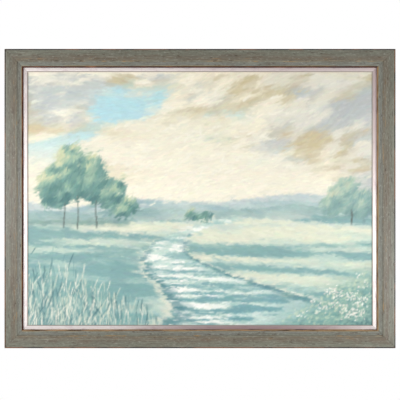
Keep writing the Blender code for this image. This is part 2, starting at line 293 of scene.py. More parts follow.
def streaks(tree, place, sizes, detail, roughness=0.5, shift=0.0, distortion=0.0):
    """Noise from 0 to 1 whose blobs measure these millimetres."""
    feeds = {"Vector": place, "Scale": millimetres(*sizes), "Location": (shift, shift, 0.0)}
    feeds = {"Vector": add(tree, "Mapping", feeds), "Scale": 1.0, "Detail": detail}
    feeds.update({"Roughness": roughness, "Distortion": distortion})
    return add(tree, "TexNoise", feeds, out="Fac")


def near(value, middle, reach):
    """The two masks of a coat that fades out to both sides of a middle."""
    return (value, middle - reach, middle, 1.0), (value, middle + reach, middle, 1.0)


def lay(tree, under, coat, *masks):
    """Lays a coat over another, as much as its masks let it.

    A mask is an output, or a value with where it starts, where it is full and how much it then gives.
    """
    share = 1.0
    for mask in masks:
        if isinstance(mask, tuple):
            feeds = {"Value": mask[0], "From Min": mask[1], "From Max": mask[2], "To Max": mask[3]}
            mask = add(tree, "MapRange", feeds, interpolation_type="SMOOTHSTEP")
        share = add(tree, "Math", {0: share, 1: mask}, operation="MULTIPLY")
    return add(tree, "Mix", {SHARE: share, UNDER: under, OVER: coat}, out=MIXED, data_type="RGBA")


def finish(tree, shader, colour, roughness, relief, others=None):
    """Joins up a material's colour, roughness and relief, and sets the shader's other sockets.

    Its roughness is a number, or a value with the roughness at 0 and at 1. Its relief is a height with
    the strength and the depth of its bumps.
    """
    if isinstance(roughness, tuple):
        roughness = add(tree, "MapRange", dict(zip(("Value", "To Min", "To Max"), roughness)))
    normal = add(tree, "Bump", dict(zip(("Height", "Strength", "Distance"), relief)))
    feeds = {"Base Color": colour, "Roughness": roughness, "Normal": normal}
    feed(tree, shader, {**feeds, **(others or {})})


def gloss_across_rail(tree, shader, amount):
    """Rubbing along a rail leaves hair lines, so its gloss spreads across them."""
    lines = add(tree, "Tangent", direction_type="UV_MAP", uv_map=RAIL_MAP)
    feed(tree, shader, {"Tangent": lines, "Anisotropic": amount, "Anisotropic Rotation": 0.25})


def rubbed_milk_paint(look):
    """The mouldings' front: milk paint over a brown coat on basswood."""
    # Milk paint, brushed on along each rail and rubbed back with steel wool. It gives the eye a chalky
    # grey-green with long brown streaks, warm wood on the ridge, dark nicks and a dark waxed edge.
    made, tree, shader = new_material("rubbed_milk_paint")
    place = add(tree, "UVMap", uv_map=RAIL_MAP)
    inset = add(tree, "SeparateXYZ", {"Vector": place}, out="Y")

    def brushed(along, across, detail, shift=0.0):
        """Brush streaks of this length and width."""
        return streaks(tree, place, (along, across), detail, 0.62, shift)

    fine = brushed(60, 2.8, 6.0)
    broad = brushed(260, 8, 4.0, 3.1)
    patches = brushed(56, 20, 4.0, 7.7)
    flecks = brushed(24, 3.6, 5.0, 11.3)
    grit = brushed(10, 4.2, 3.0, 5.9)
    # Growth rings of the wood under the paint, about 6 mm apart
    feeds = {
        "Vector": add(tree, "Mapping", {"Vector": place, "Scale": millimetres(300, 24)}),
        "Scale": 1.3,
        "Distortion": 7.0,
        "Detail": 2.0,
        "Detail Scale": 0.9,
    }
    rings = add(tree, "TexWave", feeds, out="Fac", bands_direction="Y")
    # The wash changes its tone from the outer edge to the lip, along lines that wander by up to 1.6 mm
    wander = 0.0016
    bent = add(tree, "Math", {0: broad, 1: 2 * wander, 2: inset}, operation="MULTIPLY_ADD")
    across = add(tree, "MapRange", {"Value": bent, "From Min": wander, "From Max": MOULDING_WIDTH + wander})
    wash = (
        (0.0, "#717366"),
        (0.3, "#6F7063"),
        (0.42, "#6E695C"),
        (0.6, "#6D6658"),
        (0.66, "#746F5E"),
        (0.72, "#6D6F66"),
        (0.88, "#757870"),
        (0.93, "#737569"),
    )
    colour = add(tree, "ValToRGB", {"Fac": across}, wash)
    worn = add(tree, "Attribute", out="Fac", attribute_name=WORN)
    mitre = add(tree, "Attribute", out="Fac", attribute_name=MITRE)
    outer_edge = (inset, 0.0044, 0.0032, 1.0)
    outer_side = (inset, -0.002, -0.006, 1.0)
    # Each coat has its colour and its masks, from the first one on the wood to the last
    coats = (
        (look.brown, (patches, 0.46, 0.6, 0.8), *near(inset, FIELD_INSET, 0.018)),
        ("#747470", (broad, 0.5, 0.38, 0.7), (inset, 0.034, 0.04, 1.0)),
        ("#5F5C51", (brushed(110, 30, 3.0, 61.0), 0.5, 0.38, 0.4)),
        ("#57503F", (rings, 0.7, 0.98, 0.5), (patches, 0.36, 0.56, 1.0)),
        (look.paint, (broad, 0.52, 0.64, 0.6)),
        ("#565047", (fine, 0.48, 0.3, 0.6)),
        ("#9C9B8D", (fine, 0.54, 0.72, 0.5)),
        (look.brown, (flecks, 0.55, 0.66, 0.6)),
        ("#94938A", (grit, 0.55, 0.68, 0.5)),
        ("#575045", (grit, 0.45, 0.32, 0.5)),
        # Rubs on the ridge, in some stretches of it only
        (
            look.rub,
            (brushed(120, 6, 5.0, 17.0), 0.5, 0.62, 0.7),
            (brushed(420, 60, 2.0, 23.0), 0.46, 0.54, 1.0),
            *near(inset, RIDGE_INSET, 0.0032),
        ),
        # Nicks
        ("#3F3126", (brushed(24, 5.5, 2.0, 71.0), 0.63, 0.67, 0.7)),
        # Short rubs outside the ridge, a tan line beside the lip, and a pale line inside the outer edge that
        # is a painted highlight
        ("#8F7350", (brushed(34, 4.5, 4.0, 41.0), 0.55, 0.65, 0.6), *near(inset, 0.029, 0.005)),
        ("#86744E", (brushed(150, 9, 3.0, 53.0), 0.44, 0.56, 0.8), *near(inset, LIP_INSET - 0.0012, 0.002)),
        ("#94948A", (broad, 0.45, 0.6, 0.6), *near(inset, 0.0062, 0.0014)),
        (look.rub, (worn, 0.25, 0.8, 0.8), (flecks, 0.36, 0.5, 1.0)),
        # The waxed outer edge and the stained outer side
        (look.edge, outer_edge),
        ("#584C40", outer_side),
        (look.paint, outer_side, (broad, 0.46, 0.56, 0.6)),
        ("#3E342B", outer_side, (fine, 0.5, 0.34, 0.7)),
        ("#7E5539", outer_edge, (brushed(80, 9, 3.0, 31.0), 0.47, 0.57, 0.75)),
        # The line of each mitre
        ("#57503F", (mitre, 0.0014, 0.0004, 0.4), (flecks, 0.36, 0.56, 1.0)),
    )
    for coat, *masks in coats:
        colour = lay(tree, colour, coat, *masks)
    height = add(tree, "Math", {0: fine, 1: flecks}, operation="ADD")
    finish(tree, shader, colour, (fine, 0.62, 0.42), (height, 0.8, 0.0006))
    gloss_across_rail(tree, shader, 0.8)
    return made


def red_bole(name, look, rubbed):
    """The mouldings' inner lip."""
    # Red clay bole in size, brushed on the lip and left matt. It gives a dark red-brown line. On the lips
    # that face the light, tan streaks are laid over it as a painted highlight.
    made, tree, shader = new_material(name)
    place = add(tree, "UVMap", uv_map=RAIL_MAP)
    brushed = streaks(tree, place, (60, 5), 4.0, 0.6)
    stops = ((0.36, toned(look.lip, 0.55)), (0.54, look.lip[:]), (0.7, "#8A5638"))
    colour = add(tree, "ValToRGB", {"Fac": brushed}, stops)
    # Tan streaks, as much as the given share: a painted highlight on the lips that face the light
    colour = lay(tree, colour, "#A48561", (brushed, 0.3, 0.56, rubbed))
    finish(tree, shader, colour, 0.8, (brushed, 0.3, 0.0003), {"Specular IOR Level": 0.12})
    return made


def bare_basswood(look):
    """The mouldings' and liners' unpainted faces."""
    # Basswood straight from the moulder, with smears of the brown coat. It looks dry, fine grained
    # and a little grubby.
    made, tree, shader = new_material("bare_basswood")
    place = add(tree, "UVMap", uv_map=RAIL_MAP)
    grain = streaks(tree, place, (160, 2.2), 6.0, 0.6)
    smears = streaks(tree, place, (120, 24), 4.0)
    wood = look.bare_wood
    stops = ((0.3, toned(wood, 0.55)), (0.5, wood[:]), (0.7, toned(wood, 1.2)))
    colour = add(tree, "ValToRGB", {"Fac": grain}, stops)
    colour = lay(tree, colour, "#6F5A45", (smears, 0.55, 0.7, 0.6))
    mitre = add(tree, "Attribute", out="Fac", attribute_name=MITRE)
    colour = lay(tree, colour, "#4A3826", (mitre, 0.0016, 0.0002, 0.7))
    finish(tree, shader, colour, 0.78, (grain, 0.35, 0.0003), {"Specular IOR Level": 0.25})
    return made


def silver_leaf(look):
    """The liners' front: silver leaf over rose clay."""
    # Silver leaf laid over rose clay and gesso, and sealed. It gives a pearly white that darkens a little
    # at each lap, 170 mm apart, and shows the clay on the step and the sight edge. In places it is darkened
    # to a dusky rose, partly as tarnish and partly as painted shade of the leaf's darker reflections, and a
    # grey-beige band just inside the sight edge is painted shade.
    made, tree, shader = new_material("silver_leaf_on_gesso")
    place = add(tree, "UVMap", uv_map=RAIL_MAP)
    along = add(tree, "SeparateXYZ", {"Vector": place}, out="X")
    inset = along.node.outputs["Y"]
    lap = add(tree, "Math", {0: along, 1: 0.085}, operation="PINGPONG")
    clouds = streaks(tree, place, (34, 8), 5.0, 0.6)
    colour = add(tree, "ValToRGB", {"Fac": clouds}, ((0.3, "#DDCBCD"), (0.5, look.leaf[:]), (0.7, "#F8F1EE")))
    for coat, *masks in (
        # Dusky rose, partly tarnish and partly painted shade of the leaf's darker reflections
        ("#8F6C70", add(tree, "Attribute", out="Fac", attribute_name=TARNISH_AND_SHADE)),
        (look.clay, (clouds, 0.38, 0.6, 0.45), *near(inset, LINER_STEP_INSET, 0.001)),
        (look.clay, (clouds, 0.38, 0.6, 0.75), (inset, LINER_RUN - 0.0022, LINER_RUN - 0.0006, 1.0)),
        (look.clay, (lap, 0.0022, 0.0006, 0.12)),
        # A grey-beige band just inside the sight edge: painted shade
        ("#A89D95", (inset, LINER_RUN - 0.0034, LINER_RUN - 0.0022, 0.8)),
    ):
        colour = lay(tree, colour, coat, *masks)
    finish(tree, shader, colour, 0.52, (clouds, 0.25, 0.0002), {"Metallic": 0.5})
    gloss_across_rail(tree, shader, 0.85)
    return made


def threads(tree, place, distortion, wander):
    """The ridges of the upright and the level threads of plain woven cotton duck."""
    # A thread is 0.7 mm wide. A wave texture of this scale draws one every 12.6 mm, so that it shows.
    feeds = {"Vector": place, "Scale": 25.0, "Distortion": distortion, "Detail": 1.0, "Detail Scale": wander}
    return [add(tree, "TexWave", feeds, out="Fac", bands_direction=direction) for direction in ("X", "Z")]


def oil_paint():
    """The painted front of the canvas."""
    # Oil paint pulled across cotton duck with bristle brushes, unvarnished. It gives a satin surface
    # whose bristle lines follow each pull, with the cloth's threads where the paint is thin.
    made, tree, shader = new_material("oil_paint_on_cotton_duck")
    weights = add(tree, "SeparateColor", {"Color": add(tree, "Attribute", attribute_name=PULL)}).node
    place = add(tree, "TexCoord", out="Object")
    bristles = 0.0
    for part, turn in zip(("Red", "Green", "Blue"), PULLS):
        turned = add(tree, "Mapping", {"Vector": place, "Rotation": (0.0, turn, 0.0)})
        hairs = streaks(tree, turned, (30, 1000, 1.6), 4.0, 0.6)
        feeds = {0: hairs, 1: weights.outputs[part], 2: bristles}
        bristles = add(tree, "Math", feeds, operation="MULTIPLY_ADD")
    weave = add(tree, "Math", dict(enumerate(threads(tree, place, 0.6, 4.0))), operation="MAXIMUM")
    height = add(tree, "Math", {0: weave, 1: 0.18, 2: bristles}, operation="MULTIPLY_ADD")
    feeds = {"Value": bristles, "From Min": 0.3, "From Max": 0.7, "To Min": 0.9, "To Max": 0.985}
    feeds = {0: add(tree, "Attribute", attribute_name=PAINT), "Scale": add(tree, "MapRange", feeds)}
    colour = add(tree, "VectorMath", feeds, operation="SCALE")
    gloss = {"IOR": 1.48, "Specular IOR Level": 0.35}
    finish(tree, shader, colour, (bristles, 0.62, 0.38), (height, 0.55, 0.0004), gloss)
    return made


def cotton_duck(name, base, primed):
    """The raw back of the canvas, or its primed sides."""
    # Cotton duck, plain woven. Raw, it is cream with darker slubs and seed specks, and primed it is white
    # with the threads still standing out.
    made, tree, shader = new_material(name)
    place = add(tree, "TexCoord", out="Object")
    slubs = 0.0
    for sizes in ((60, 1000, 2.5), (2.5, 1000, 60)):
        feeds = {0: streaks(tree, place, sizes, 3.0, 0.6), 1: 0.5, 2: slubs}
        slubs = add(tree, "Math", feeds, operation="MULTIPLY_ADD")
    stops = ((0.36, toned(base, 0.78)), (0.5, base[:]), (0.64, toned(base, 1.1)))
    colour = add(tree, "ValToRGB", {"Fac": slubs}, stops)
    if not primed:
        # Seed specks, about 14 mm apart
        specks = add(tree, "TexVoronoi", {"Vector": place, "Scale": 1000 / 14}, out="Distance", feature="F1")
        colour = lay(tree, colour, "#7B6547", (specks, 0.1, 0.05, 0.5))
    weave = add(tree, "Math", dict(enumerate(threads(tree, place, 0.8, 3.0))), operation="MULTIPLY")
    height = add(tree, "Math", {0: weave, 1: slubs}, operation="ADD")
    roughness, fuzz = (0.6, 0.0) if primed else (0.88, 0.15)
    gloss = {"Specular IOR Level": 0.2, "Sheen Weight": fuzz}
    finish(tree, shader, colour, roughness, (height, 0.5, 0.0004), gloss)
    return made


def planed_pine(name, look, level):
    """The stretcher bars: pine with its grain along the bar."""
    # Pine, planed and bare. It shows straight amber grain lines about 5 mm apart on pale yellow wood, and
    # a knot now and then.
    made, tree, shader = new_material(name)
    place = add(tree, "TexCoord", out="Object")

    def along_bar(length, width):
        """The size of a mark of this length along the bar."""
        return (length, width, width) if level else (width, width, length)

    grain = streaks(tree, place, along_bar(240, 5), 5.0, distortion=0.4)
    pores = streaks(tree, place, along_bar(30, 0.9), 3.0)
    knot_place = add(tree, "Mapping", {"Vector": place, "Scale": millimetres(*along_bar(150, 90))})
    knots = add(tree, "TexVoronoi", {"Vector": knot_place, "Scale": 1.0}, out="Distance", feature="F1")
    pine = look.pine
    amber = (0.6 * pine[0], 0.48 * pine[1], 0.34 * pine[2], 1.0)
    stops = ((0.34, amber), (0.44, pine[:]), (0.6, toned(pine, 1.15)), (0.68, pine[:]))
    colour = add(tree, "ValToRGB", {"Fac": grain}, stops)
    height = add(tree, "Math", {0: grain, 1: pores}, operation="ADD")
    colour = lay(tree, colour, "#8A5A30", (knots, 0.12, 0.06, 0.8))
    finish(tree, shader, colour, 0.66, (height, 0.3, 0.0003), {"Specular IOR Level": 0.3})
    return made


def zinc_plated_steel(look):
    """The framer's points, hangers, screws and staples."""
    # Zinc plated steel, stamped and tumbled. It is a dull grey with cloudy plating and fine scratches.
    made, tree, shader = new_material("zinc_plated_steel")
    place = add(tree, "TexCoord", out="Object")
    clouds = streaks(tree, place, (5, 5, 5), 4.0)
    scratches = streaks(tree, place, (18, 1.2, 0.5), 3.0)
    stops = ((0.35, toned(look.zinc, 0.72)), (0.6, look.zinc[:]))
    colour = add(tree, "ValToRGB", {"Fac": clouds}, stops)
    finish(tree, shader, colour, (clouds, 0.3, 0.52), (scratches, 0.15, 0.0001), {"Metallic": 1.0})
    return made


def matt_floor():
    """The studio floor."""
    # Matt vinyl, rolled out. It gives a pale, even ground with a faint grain.
    made, tree, shader = new_material("matt_vinyl_floor")
    grain = streaks(tree, add(tree, "TexCoord", out="Object"), (40, 40, 40), 3.0)
    colour = add(tree, "ValToRGB", {"Fac": grain}, ((0.3, "#E9E8E5"), (0.7, "#F1F0EE")))
    feed(tree, shader, {"Base Color": colour, "Roughness": 0.85})
    return made


def place_mesh(name, bm, materials):
    """Makes an object of a finished mesh."""
    mesh = bpy.data.meshes.new(name)
    bm.to_mesh(mesh)
    bm.free()
    for material in materials:
        mesh.materials.append(material)
    made = bpy.data.objects.new(name, mesh)
    bpy.context.scene.collection.objects.link(made)
    return made


def show(name, bm, materials, slot, *replaced):
    """Makes a finished piece, which rides on the object and stands for these CAD nodes."""
    made = place_mesh(name, bm, materials)
    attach(made, BODY)
    if replaced:
        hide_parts(*replaced)
    return made


def dress(node, material):
    """Gives a CAD node its finish."""
    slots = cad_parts[node].data.materials
    slots.clear()
    slots.append(material)


def shade_smooth(bm):
    """Shades the faces smooth, with a sharp edge at each crease."""
    for face in bm.faces:
        face.smooth = True
    for edge in bm.edges:
        edge.smooth = len(edge.link_faces) == 2 and edge.calc_face_angle(0.0) < CREASE


def directions(side):
    """The axis along a side and the one across it."""
    return (0, 2) if side in LEVEL else (2, 0)


def ring_box(prefix):
    """Lowest and highest corner of a ring of four rails."""
    boxes = [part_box(f"{prefix}_{side}") for side in SIDES]
    low = Vector(min(box[0][axis] for box in boxes) for axis in range(3))
    high = Vector(max(box[1][axis] for box in boxes) for axis in range(3))
    return low, high


def place_on_rail(side, ring, point):
    """How far along its side, in from the ring's outer edge and away from the mitre a point lies."""
    low, high = ring
    run, across = directions(side)
    inset = high[across] - point[across] if side in ("top", "right") else point[across] - low[across]
    along = point[run] - (low[run] + high[run]) / 2
    from_mitre = ((high[run] - low[run]) / 2 - abs(along) - inset) / math.sqrt(2)
    return along, inset, from_mitre


def finer_rail(prefix, side, ring, station):
    """A merged copy of a CAD rail, with stations along it and its front in narrow strips."""
    bm = bmesh.new()
    bm.from_mesh(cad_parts[f"{prefix}_{side}"].data)
    bmesh.ops.remove_doubles(bm, verts=bm.verts, dist=MERGE)
    bmesh.ops.dissolve_limit(bm, angle_limit=0.004, verts=bm.verts, edges=bm.edges)
    run = directions(side)[0]
    length = ring[1][run] - ring[0][run]
    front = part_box(f"{prefix}_{side}")[0].y + FRONT_DEPTH

    def reach(edge):
        """How far an edge goes along the rail."""
        return abs(edge.verts[0].co[run] - edge.verts[1].co[run])

    def on_front(edge):
        """Whether an edge lies in the rail's front."""
        return all(vert.co.y < front for vert in edge.verts)

    narrow, wide = STRIP_WIDTHS
    cross_edges = [
        edge
        for edge in bm.edges
        if on_front(edge) and narrow < edge.calc_length() < wide and reach(edge) < MOSTLY * edge.calc_length()
    ]
    bmesh.ops.subdivide_edges(bm, edges=cross_edges, cuts=1, use_grid_fill=True)
    long_edges = [
        edge
        for edge in bm.edges
        if reach(edge) > MOSTLY * length
        and (on_front(edge) or place_on_rail(side, ring, edge.verts[0].co)[1] < OUTER_SKIN)
    ]
    bmesh.ops.subdivide_edges(bm, edges=long_edges, cuts=round(length / station) - 1, use_grid_fill=True)
    bm.normal_update()
    return bm


def is_mitre(face):
    """Whether a face is a rail's sawn end."""
    return min(abs(face.normal.x), abs(face.normal.z)) > 0.3


def map_rail(bm, side, ring, seed, pick):
    """Gives a rail its map of along and inset, its distance from the mitre, its finishes and shading."""
    layer = bm.loops.layers.uv.new(RAIL_MAP)
    mitre = bm.verts.layers.float.new(MITRE)
    for vert in bm.verts:
        vert[mitre] = place_on_rail(side, ring, vert.co)[2]
    for face in bm.faces:
        middle = face.calc_center_median()
        face.material_index = pick(face, middle, place_on_rail(side, ring, middle)[1])
        for loop in face.loops:
            along, inset, _ = place_on_rail(side, ring, loop.vert.co)
            # The map goes on down the outer side, from 6 mm behind the front, with a negative inset
            fall = max(0.0, loop.vert.co.y - ring[0].y - 0.006) if inset < 0.001 else 0.0
            # Each rail has a stretch of the map of its own, 2 m from the next
            loop[layer].uv = (along + 2.0 * seed, inset - fall)
    shade_smooth(bm)


def mottle(along, inset, cells, layer):
    """Noise from -1 to 1 with this many cells to the metre, along a rail and across it."""
    return noise.noise(Vector((along * cells[0], inset * cells[1], layer)))


def hump(value, middle, reach):
    """1 at the middle, and 0 from its reach on."""
    return max(0.0, 1 - abs(value - middle) / reach)


def wear_moulding(bm, side, ring, seed, depth):
    """Knocks and rubs the front of a rail back, most on its ridge and outer edge."""
    worn = bm.verts.layers.float.new(WORN)
    for vert in bm.verts:
        along, inset, from_mitre = place_on_rail(side, ring, vert.co)
        if vert.co.y > -LIP_HEIGHT or inset > MOULDING_WIDTH - SIGHT_SKIN:
            continue
        knocks = 1.6 * max(0.0, mottle(along, inset, (34, 160), 5.3 * seed) - 0.12)
        long_rub = max(0.0, mottle(along, inset, (9, 90), 9.1 * seed + 3))
        ripple = 0.10 * (0.5 + 0.5 * mottle(along, inset, (16, 420), 2.7 * seed))
        lip = hump(inset, LIP_INSET + 0.001, LIP_WEAR)
        exposed = max(hump(inset, RIDGE_INSET, RIDGE_WEAR), hump(inset, 0.0, EDGE_WEAR), 0.6 * lip)
        wear = exposed * (0.25 + 0.75 * min(1.0, knocks + 0.5 * long_rub))
        joint = 0.7 * hump(max(0.0, from_mitre), 0.0, MITRE_WEAR)
        vert[worn] = min(1.0, exposed * (knocks + 0.7 * long_rub))
        vert.co.y += depth * min(1.0, wear + ripple + joint)


class PAINTING_OT_add_mouldings(Operator):
    """Builds the four worn frame rails with their milk paint"""

    bl_idname = "framed_painting.add_mouldings"
    bl_label = "Add mouldings"

    def execute(self, context):
        settings = context.scene.framed_painting
        look = settings.moulding
        paint = rubbed_milk_paint(look)
        wood = bare_basswood(settings.back)
        dark_lip = red_bole("red_bole_on_basswood", look, 0.0)
        lit_lip = red_bole("rubbed_bole_on_basswood", look, 0.75)
        ring = ring_box("frame_rail")

        def pick(face, middle, inset):
            """0 is paint, 1 is bare wood and 2 is the lip."""
            if is_mitre(face) or face.normal.y > 0.5 or not (inset < PAINTED_SKIN or middle.y < -LIP_HEIGHT):
                return 1
            return 2 if inset > LIP_INSET else 0

        for seed, side in enumerate(SIDES):
            bm = finer_rail("frame_rail", side, ring, look.station)
            map_rail(bm, side, ring, seed, pick)
            wear_moulding(bm, side, ring, seed, look.wear)
            # The right and bottom lips get the tan painted highlight
            lip = lit_lip if side in LIT_LIP_SIDES else dark_lip
            show(f"moulding_{side}", bm, (paint, wood, lip), "frame_wood", f"frame_rail_{side}")
        return {"FINISHED"}


class PAINTING_OT_add_liners(Operator):
    """Builds the four silver-leaf liner rails"""

    bl_idname = "framed_painting.add_liners"
    bl_label = "Add liners"

    def execute(self, context):
        settings = context.scene.framed_painting
        look = settings.liner
        materials = (silver_leaf(look), bare_basswood(settings.back))
        ring = ring_box("liner")

        def pick(face, middle, inset):
            """0 is leaf and 1 is bare wood."""
            return 1 if is_mitre(face) or not (face.normal.y < -0.1 or inset > LINER_RUN - SIGHT_SKIN) else 0

        for seed, side in enumerate(SIDES):
            bm = finer_rail("liner", side, ring, look.station)
            map_rail(bm, side, ring, seed, pick)
            # Dusky rose on the leaf, partly tarnish and partly painted shade, strongest on the bottom rail
            tarnish = bm.verts.layers.float.new(TARNISH_AND_SHADE)
            middle, reach, amount = TARNISH_AND_SHADE_STRETCHES[side]
            for vert in bm.verts:
                along, inset, _ = place_on_rail(side, ring, vert.co)
                vert[tarnish] = amount * max(0.0, 1 - ((along - middle) / reach) ** 2)
                if vert.co.y < -LINER_LEAF_HEIGHT and inset > LINER_SHOWS_FROM:
                    vert.co.y += look.dimple * max(0.0, mottle(along, inset, (40, 120), 3.3 * seed))
            show(f"silvered_{side}", bm, materials, "silver_liner", f"liner_{side}")
        return {"FINISHED"}


def smooth(low, high, value):
    """A soft step from 0 at low to 1 at high."""
    share = np.clip((value - low) / (high - low), 0.0, 1.0)
    return share * share * (3 - 2 * share)


def blend(under, over, share):
    """A colour field or a hex colour over a colour field."""
    if isinstance(over, str):
        over = shade(over)
    return under + (over - under) * share[..., None]


def graded(value, stops):
    """The colour at each value, between stops of (value, hex colour)."""
    places = [place for place, _ in stops]
    colours = np.array([shade(code) for _, code in stops])
    return np.stack([np.interp(value, places, colours[:, part]) for part in range(3)], axis=-1)


class Easel:
    """The raster that the picture is painted on, with places in millimetres from its top left."""

    def __init__(self, width, height, cols, rows, seed):
        self.width = width
        self.height = height
        self.cols = cols
        self.rows = rows
        self.rng = np.random.default_rng(seed)
        self.x = (np.arange(cols) + 0.5) * width / cols
        self.y = (np.arange(rows) + 0.5) * height / rows
        self.across, self.down = np.meshgrid(self.x / width, self.y / height)
        self.paint = np.zeros((rows, cols, 3))
        self.relief = np.zeros((rows, cols))
        self.pull = np.zeros((rows, cols))

    def clouds(self, cell_x, cell_y, octaves, turn=0.0):
        """Soft noise from 0 to 1 whose largest blobs measure cell_x by cell_y, turned by an angle."""
        gx, gy = np.meshgrid(self.x, self.y)
        c, s = math.cos(turn), math.sin(turn)
        u = (gx * c + gy * s) / cell_x + 40
        v = (gy * c - gx * s) / cell_y + 40
        total = np.zeros_like(u)
        weight = 0.0
        for octave in range(octaves):
            table = self.rng.random((64, 64))
            scale = 2.0**octave
            a, b = u * scale, v * scale
            i, j = np.floor(a).astype(int), np.floor(b).astype(int)
            fa, fb = a - i, b - j
            fa, fb = fa * fa * (3 - 2 * fa), fb * fb * (3 - 2 * fb)
            upper = table[j % 64, i % 64] * (1 - fa) + table[j % 64, (i + 1) % 64] * fa
            lower = table[(j + 1) % 64, i % 64] * (1 - fa) + table[(j + 1) % 64, (i + 1) % 64] * fa
            total += (upper * (1 - fb) + lower * fb) / scale
            weight += 1 / scale
        return total / weight

    def skyline(self, level, rise, bumps):
        """A wavy line across the picture, as a share of its height at each column."""
        line = np.full(self.cols, level)
        for bump in range(1, bumps + 1):
            turn = 0.75 * bump * self.x / self.width + self.rng.random()
            line += rise / bump * np.sin(2 * math.pi * turn)
        return line[None, :]

    def stroke(self, at, size, angle, colour, load, bend, body=1.0):
        """One pull of a loaded brush: its bristles leave streaks and its edges leave ridges."""
        length, width = size
        reach = 0.55 * math.hypot(length, width)
        px, py = self.width / self.cols, self.height / self.rows
        i0, i1 = max(0, int((at[0] - reach) / px)), min(self.cols, int((at[0] + reach) / px) + 1)
        j0, j1 = max(0, int((at[1] - reach) / py)), min(self.rows, int((at[1] + reach) / py) + 1)
        if i0 >= i1 or j0 >= j1:
            return
        dx = self.x[i0:i1][None, :] - at[0]
        dy = self.y[j0:j1][:, None] - at[1]
        c, s = math.cos(angle), math.sin(angle)
        u = (dx * c + dy * s) * 2 / length
        v = (dy * c - dx * s) * 2 / width + bend * (u * u - 0.4)
        hair = np.interp(v, np.linspace(-1, 1, 24), self.rng.random(24))
        edge = np.clip((1 - np.abs(v)) * 2.2, 0, 1)
        ends = np.clip((1 - np.abs(u)) * 3.0, 0, 1)
        dry = np.clip(load + 0.5 * hair - 0.35 * (u + 1), 0, 1)
        cover = edge * ends * dry
        patch = (slice(j0, j1), slice(i0, i1))
        streaked = colour[None, None, :] * (1 + 0.05 * (hair[..., None] - 0.5))
        self.paint[patch] += (streaked - self.paint[patch]) * cover[..., None]
        ridge = body * (0.4 + 0.6 * hair + 0.5 * np.abs(v) ** 3)
        self.relief[patch] += (ridge - self.relief[patch]) * cover * 0.8
        self.pull[patch] = np.where(cover > 0.5, angle, self.pull[patch])

    def touch(self, x, y, *brush):
        """A stroke at a share of the picture's width and height."""
        self.stroke((x * self.width, y * self.height), *brush)

    def cover(self, target, where, count, size, angles, spread, jitter, load, body):
        """Strokes scattered over a region, each with the colour that the target has under it."""
        rng = self.rng
        weights = where.ravel() / where.sum()
        for spot in rng.choice(weights.size, size=count, p=weights):
            j, i = divmod(int(spot), self.cols)
            colour = target[j, i] * (1 + rng.normal(0, jitter)) + rng.normal(0, jitter * 0.4, 3)
            grow = rng.uniform(0.65, 1.35)
            self.stroke(
                (self.x[i] + rng.normal(0, 1.0), self.y[j] + rng.normal(0, 1.0)),
                (size[0] * grow, size[1] * rng.uniform(0.7, 1.25)),
                angles[j, i] + rng.normal(0, spread),
                np.clip(colour, 0, 1),
                load * rng.uniform(0.75, 1.1),
                rng.normal(0, 0.25),
                body,
            )


# The view on the canvas: a river plain under a wide sky. Places are shares of its width and height.
HORIZON = 0.555
# Each ridge of hills, far to near: its level, its rise, its bumps, and its dark and its light
HILLS = (
    (0.500, 0.020, 5, "#BAC8C9", "#D2D9D2"),
    (0.527, 0.018, 6, "#9DB7BA", "#BECFCB"),
    (0.548, 0.014, 8, "#88A8A8", "#B0C6C0"),
)
# Each tree's crown: its middle and its two radii
CROWNS = (
    (0.085, 0.455, 0.060, 0.085),
    (0.140, 0.400, 0.055, 0.110),
    (0.195, 0.430, 0.048, 0.095),
    (0.245, 0.485, 0.040, 0.070),
    (0.290, 0.530, 0.030, 0.040),
    (0.885, 0.515, 0.040, 0.055),
    (0.925, 0.490, 0.034, 0.070),
    (0.965, 0.520, 0.036, 0.055),
    (0.480, 0.560, 0.016, 0.020),
    (0.515, 0.565, 0.020, 0.016),
)
# Each trunk: its foot and the height of its top
TRUNKS = ((0.112, 0.602, 0.53), (0.150, 0.606, 0.50), (0.203, 0.602, 0.52), (0.934, 0.590, 0.555))
GRASSES = ("#52797E", "#6F979A", "#93B5AE", "#C6D1C0", "#EAE8D8")
LEAVES = ("#4C7376", "#688F8C", "#8FB1A2", "#C0D0B6")
PETALS = ("#EFEDE2", "#E6E1D3", "#DDD3CB", "#F6F4EA")


def sketch_sky(easel):
    """Colours of the sky: a pale sun haze, gaps of blue and banks of cloud."""
    x, y = easel.across, easel.down
    t = y / HORIZON
    stops = ((0.0, "#E4DFC6"), (0.3, "#EAE6D0"), (0.62, "#EBE6D2"), (0.9, "#ECE7D4"), (1.0, "#E0E0D3"))
    air = graded(t, stops)
    haze = np.exp(-(((x - 0.33) / 0.26) ** 2) - ((y - 0.47) / 0.15) ** 2)
    air = blend(air, "#F6F0DC", 0.85 * haze)
    gaps = smooth(0.5, 0.62, easel.clouds(260, 90, 4, -0.2)) * smooth(0.75, 0.35, t) * smooth(0.02, 0.12, t)
    air = blend(air, "#AFD9E3", 0.9 * gaps * smooth(0.95, 0.35, x))
    veils = smooth(0.52, 0.66, easel.clouds(330, 42, 3, -0.05)) * smooth(0.3, 0.45, t) * smooth(0.95, 0.7, t)
    air = blend(air, "#CDBD98", 0.7 * veils * smooth(0.45, 0.0, x))
    bank = easel.clouds(250, 140, 5, -0.15) - 0.06
    bank += 0.36 * smooth(0.35, 1.0, x) + 0.16 * smooth(0.6, 0.0, t) - 0.32 * smooth(0.45, 0.95, t)
    lit = smooth(-0.05, 0.035, bank - np.roll(bank, (9, 12), axis=(0, 1)))
    puff = blend(np.broadcast_to(shade("#C4C8C4"), air.shape), "#F5EFDB", lit)
    puff = blend(puff, "#A7AFB2", 0.6 * smooth(0.66, 0.86, bank) * (1 - 0.5 * lit))
    warm = easel.clouds(180, 70, 3)
    puff = blend(puff, "#CBB88A", 0.75 * smooth(0.42, 0.62, warm) * (1 - 0.8 * lit))
    return blend(air, puff, 0.92 * smooth(0.52, 0.66, bank))


